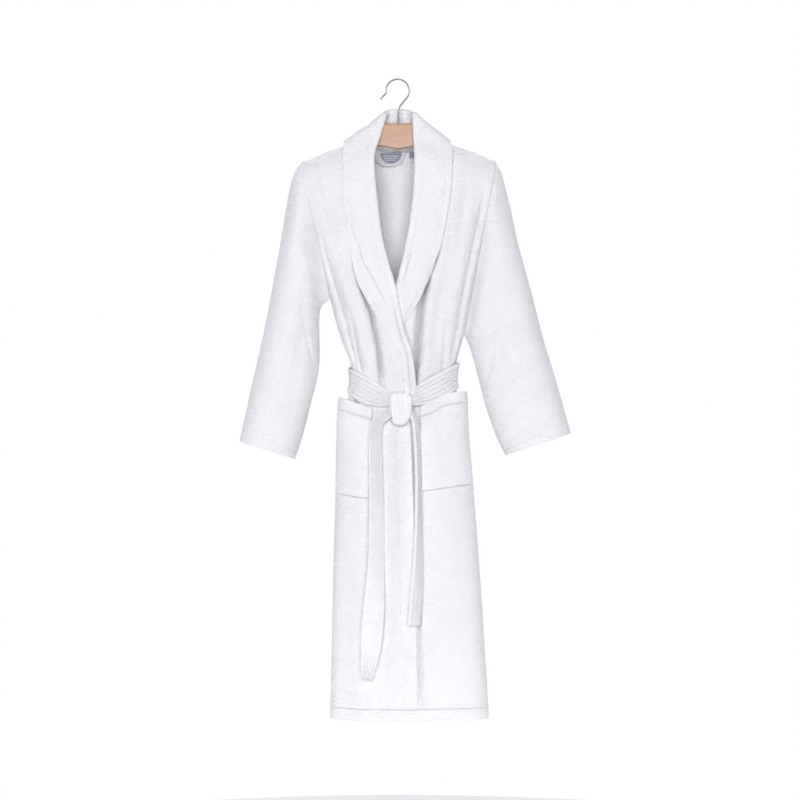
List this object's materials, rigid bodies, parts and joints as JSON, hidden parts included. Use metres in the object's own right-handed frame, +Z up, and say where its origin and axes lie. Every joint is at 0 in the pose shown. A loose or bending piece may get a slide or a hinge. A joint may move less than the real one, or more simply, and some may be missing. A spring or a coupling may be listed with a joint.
{
  "type": "bathrobe on hanger",
  "caption": "White terry bathrobe with a shawl collar and patch pockets, tied with its belt and hung on a wooden hanger.",
  "frame": {"origin": "inside top of the hanger hook's bend, where it bears on a rail, on the shank's axis", "axes": "+Z up, the robe's front faces -Y, +X to the viewer's right"},
  "size_m": [0.6893, 0.1821, 1.3294],
  "materials": {
    "white_terry": "terry loop pile, matt",
    "white_belting": "terry strip with lengthwise stitching",
    "loop_tape": "woven cotton tape",
    "label_satin": "woven satin label",
    "hanger_wood": "clear satin lacquer",
    "hook_steel": "polished plated wire"
  },
  "bodies": {
    "hook": {"hanger_hook": "hook_steel", "hook_tip": "hook_steel"},
    "robe": {"hanger_body": "hanger_wood", "back_panel": "white_terry", "front_panel_left": "white_terry", "front_panel_right": "white_terry", "shawl_collar_left": "white_terry", "shawl_collar_right": "white_terry", "patch_pocket_left": "white_terry", "patch_pocket_right": "white_terry", "belt_wrap": "white_belting", "belt_knot": "white_belting", "belt_loop_left": "white_belting", "belt_loop_right": "white_belting", "neck_label": "label_satin"},
    "left_sleeve": {"sleeve_left": "white_terry"},
    "right_sleeve": {"sleeve_right": "white_terry"},
    "long_tail": {"belt_tail_long": "white_belting"},
    "short_tail": {"belt_tail_short": "white_belting"},
    "tag": {"size_tag": "label_satin"},
    "loop": {"hanging_loop": "loop_tape"}
  },
  "joints": [
    {"name": "hook_swivel", "type": "hinge", "parent": "hook", "child": "robe", "pos_m": [0, 0, -0.0926], "axis": [0, 0, 1], "continuous": true},
    {"name": "sleeve_left_lift", "type": "hinge", "parent": "robe", "child": "left_sleeve", "pos_m": [-0.198, 0, -0.164], "axis": [0, 1, 0], "range_deg": [0, 50]},
    {"name": "sleeve_right_lift", "type": "hinge", "parent": "robe", "child": "right_sleeve", "pos_m": [0.2, 0, -0.164], "axis": [0, -1, 0], "range_deg": [0, 50]},
    {"name": "tail_long_swing", "type": "hinge", "parent": "robe", "child": "long_tail", "pos_m": [0.005, -0.086, -0.7], "axis": [-1, 0, 0], "range_deg": [0, 75]},
    {"name": "tail_short_swing", "type": "hinge", "parent": "robe", "child": "short_tail", "pos_m": [0.005, -0.086, -0.7], "axis": [-1, 0, 0], "range_deg": [0, 75]},
    {"name": "size_tag_flip", "type": "hinge", "parent": "robe", "child": "tag", "pos_m": [0.031, 0.0215, -0.149], "axis": [-1, 0, 0], "range_deg": [0, 60]},
    {"name": "hanging_loop_flip", "type": "hinge", "parent": "robe", "child": "loop", "pos_m": [-0.02, 0.0185, -0.152], "axis": [-1, 0, 0], "range_deg": [0, 60]}
  ]
}
